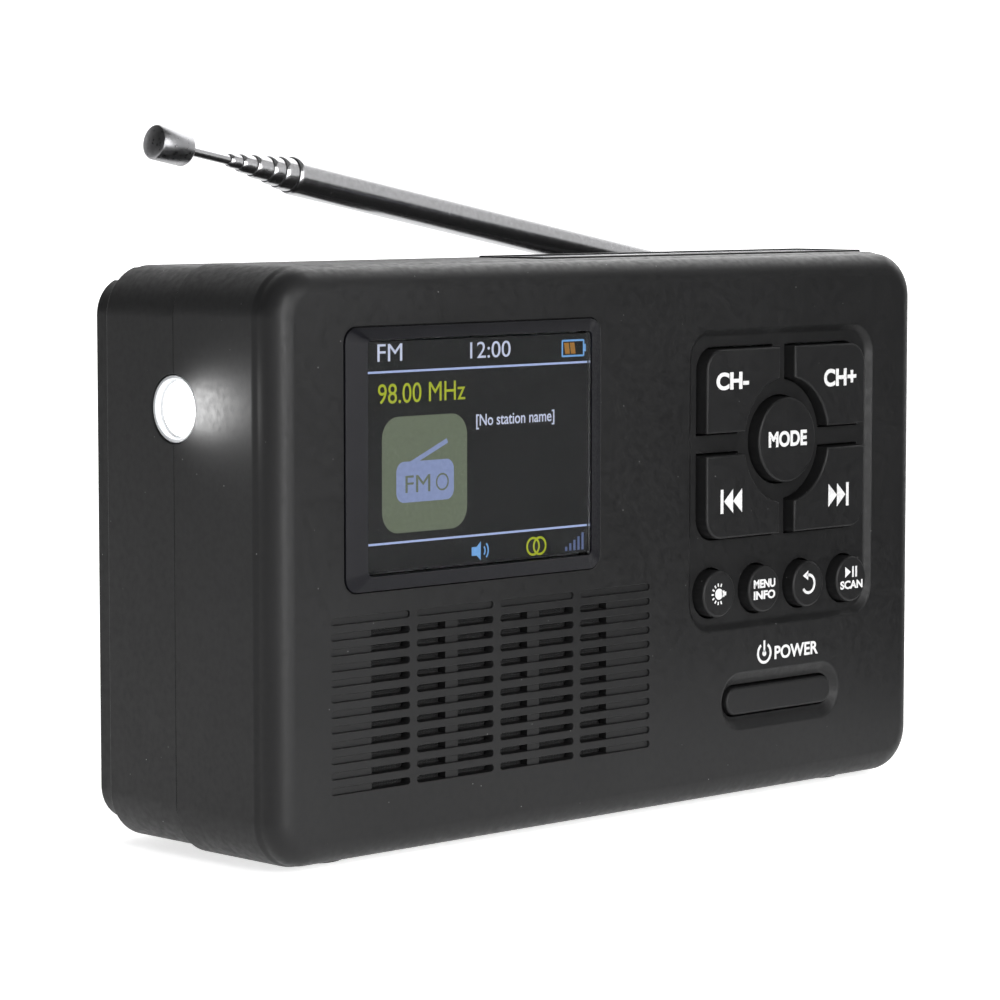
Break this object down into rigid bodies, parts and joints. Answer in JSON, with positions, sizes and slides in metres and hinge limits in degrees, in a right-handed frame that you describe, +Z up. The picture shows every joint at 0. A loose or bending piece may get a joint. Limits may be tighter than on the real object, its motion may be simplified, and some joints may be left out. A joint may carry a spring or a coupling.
{
  "type": "portable radio",
  "caption": "Box-shaped portable radio with a front display and key pad, a side torch, a top solar cell, a folding rear crank and a telescopic aerial.",
  "frame": {"origin": "on the resting plane under the feet, in the middle of the object's box", "axes": "+X to the right as the user faces the display, +Y from the display face to the rear, +Z up"},
  "size_m": [0.1516, 0.053, 0.1155],
  "materials": {
    "casing": "fine matte texture",
    "key": "smooth matte",
    "bezel": "semi-gloss",
    "lens": "clear gloss",
    "screen": "lit display",
    "rubber": "matte",
    "chrome": "polished",
    "steel": "satin",
    "board": "solder mask",
    "nylon": "natural",
    "silicone": "matte",
    "lamp": "clear lamp, lit",
    "paper": "coated paper",
    "battery": "shrink sleeve",
    "solar": "glossy cell"
  },
  "bodies": {
    "case": {"front_shell": "casing", "rear_shell": "casing", "case_screw_1": "steel", "case_screw_2": "steel", "case_screw_3": "steel", "case_screw_4": "steel", "foot_front_left": "rubber", "foot_front_right": "rubber", "foot_rear_left": "rubber", "foot_rear_right": "rubber", "display_bezel": "bezel", "display_lens": "lens", "lcd_panel": "screen", "lcd_back_frame": "steel", "main_board": "board", "key_mat": "silicone", "key_board": "board", "speaker_cloth": "paper", "speaker_basket": "steel", "speaker_cone": "paper", "speaker_magnet": "steel", "torch_lens": "lamp", "torch_reflector": "chrome", "torch_led": "lamp", "torch_board": "board", "solar_frame": "casing", "solar_cell": "solar", "battery_cell": "battery", "battery_cradle": "nylon", "usb_socket": "steel", "headphone_socket": "key", "socket_board": "board", "gear_plate": "steel", "generator": "steel", "aerial_screw": "steel"},
    "channel_down_key": {"key_channel_down": "key"},
    "channel_up_key": {"key_channel_up": "key"},
    "previous_key": {"key_previous": "key"},
    "next_key": {"key_next": "key"},
    "mode_key": {"key_mode": "key"},
    "torch_key": {"key_torch": "key"},
    "menu_key": {"key_menu": "key"},
    "back_key": {"key_back": "key"},
    "scan_key": {"key_scan": "key"},
    "power_key": {"key_power": "key"},
    "crank": {"crank_arm": "key", "crank_shaft": "steel", "crank_wheel": "nylon", "crank_grip_pin": "steel"},
    "grip": {"crank_grip": "key"},
    "idler": {"idler_gear": "nylon"},
    "generator_rotor": {"generator_pinion": "steel"},
    "mast": {"aerial_mast": "chrome"},
    "section_2": {"aerial_section_2": "chrome"},
    "section_3": {"aerial_section_3": "chrome"},
    "section_4": {"aerial_section_4": "chrome"},
    "section_5": {"aerial_section_5": "chrome"},
    "section_6": {"aerial_section_6": "chrome"},
    "rod": {"aerial_rod": "chrome", "aerial_tip": "chrome"}
  },
  "joints": [
    {"name": "press_channel_down", "type": "slide", "parent": "case", "child": "channel_down_key", "axis": [0, 1, 0], "range_m": [0, 0.0008], "stiffness_N_per_m": 1500, "springref_m": -0.0003},
    {"name": "press_channel_up", "type": "slide", "parent": "case", "child": "channel_up_key", "axis": [0, 1, 0], "range_m": [0, 0.0008], "stiffness_N_per_m": 1500, "springref_m": -0.0003},
    {"name": "press_previous", "type": "slide", "parent": "case", "child": "previous_key", "axis": [0, 1, 0], "range_m": [0, 0.0008], "stiffness_N_per_m": 1500, "springref_m": -0.0003},
    {"name": "press_next", "type": "slide", "parent": "case", "child": "next_key", "axis": [0, 1, 0], "range_m": [0, 0.0008], "stiffness_N_per_m": 1500, "springref_m": -0.0003},
    {"name": "press_mode", "type": "slide", "parent": "case", "child": "mode_key", "axis": [0, 1, 0], "range_m": [0, 0.0008], "stiffness_N_per_m": 1500, "springref_m": -0.0003},
    {"name": "press_torch", "type": "slide", "parent": "case", "child": "torch_key", "axis": [0, 1, 0], "range_m": [0, 0.0008], "stiffness_N_per_m": 1500, "springref_m": -0.0003},
    {"name": "press_menu", "type": "slide", "parent": "case", "child": "menu_key", "axis": [0, 1, 0], "range_m": [0, 0.0008], "stiffness_N_per_m": 1500, "springref_m": -0.0003},
    {"name": "press_back", "type": "slide", "parent": "case", "child": "back_key", "axis": [0, 1, 0], "range_m": [0, 0.0008], "stiffness_N_per_m": 1500, "springref_m": -0.0003},
    {"name": "press_scan", "type": "slide", "parent": "case", "child": "scan_key", "axis": [0, 1, 0], "range_m": [0, 0.0008], "stiffness_N_per_m": 1500, "springref_m": -0.0003},
    {"name": "press_power", "type": "slide", "parent": "case", "child": "power_key", "axis": [0, 1, 0], "range_m": [0, 0.0008], "stiffness_N_per_m": 1500, "springref_m": -0.0003},
    {"name": "crank_turn", "type": "hinge", "parent": "case", "child": "crank", "pos_m": [-0.0127, 0.0242, 0.0787], "axis": [0, 1, 0], "continuous": true},
    {"name": "idler_turn", "type": "hinge", "parent": "case", "child": "idler", "pos_m": [-0.0127, 0.0081, 0.0637], "axis": [0, 1, 0], "continuous": true},
    {"name": "generator_turn", "type": "hinge", "parent": "case", "child": "generator_rotor", "pos_m": [-0.02569, 0.0047, 0.0562], "axis": [0, 1, 0], "continuous": true},
    {"name": "grip_fold", "type": "hinge", "parent": "crank", "child": "grip", "pos_m": [-0.06358, 0.0242, 0.08226], "axis": [0.0698, 0, 0.9976], "range_deg": [0, 90]},
    {"name": "aerial_tilt", "type": "hinge", "parent": "case", "child": "mast", "pos_m": [0.0653, 0.0182, 0.0886], "axis": [0, 1, 0], "range_deg": [-10.6, 79.4]},
    {"name": "slide_section_2", "type": "slide", "parent": "mast", "child": "section_2", "axis": [-0.9829, 0, 0.184], "range_m": [0, 0.08]},
    {"name": "slide_section_3", "type": "slide", "parent": "section_2", "child": "section_3", "axis": [-0.9829, 0, 0.184], "range_m": [0, 0.08]},
    {"name": "slide_section_4", "type": "slide", "parent": "section_3", "child": "section_4", "axis": [-0.9829, 0, 0.184], "range_m": [0, 0.08]},
    {"name": "slide_section_5", "type": "slide", "parent": "section_4", "child": "section_5", "axis": [-0.9829, 0, 0.184], "range_m": [0, 0.08]},
    {"name": "slide_section_6", "type": "slide", "parent": "section_5", "child": "section_6", "axis": [-0.9829, 0, 0.184], "range_m": [0, 0.08]},
    {"name": "slide_rod", "type": "slide", "parent": "section_6", "child": "rod", "axis": [-0.9829, 0, 0.184], "range_m": [0, 0.08]}
  ],
  "couplings": [
    {"joint": "idler_turn", "follows": "crank_turn", "ratio": -3},
    {"joint": "generator_turn", "follows": "crank_turn", "ratio": 9}
  ]
}
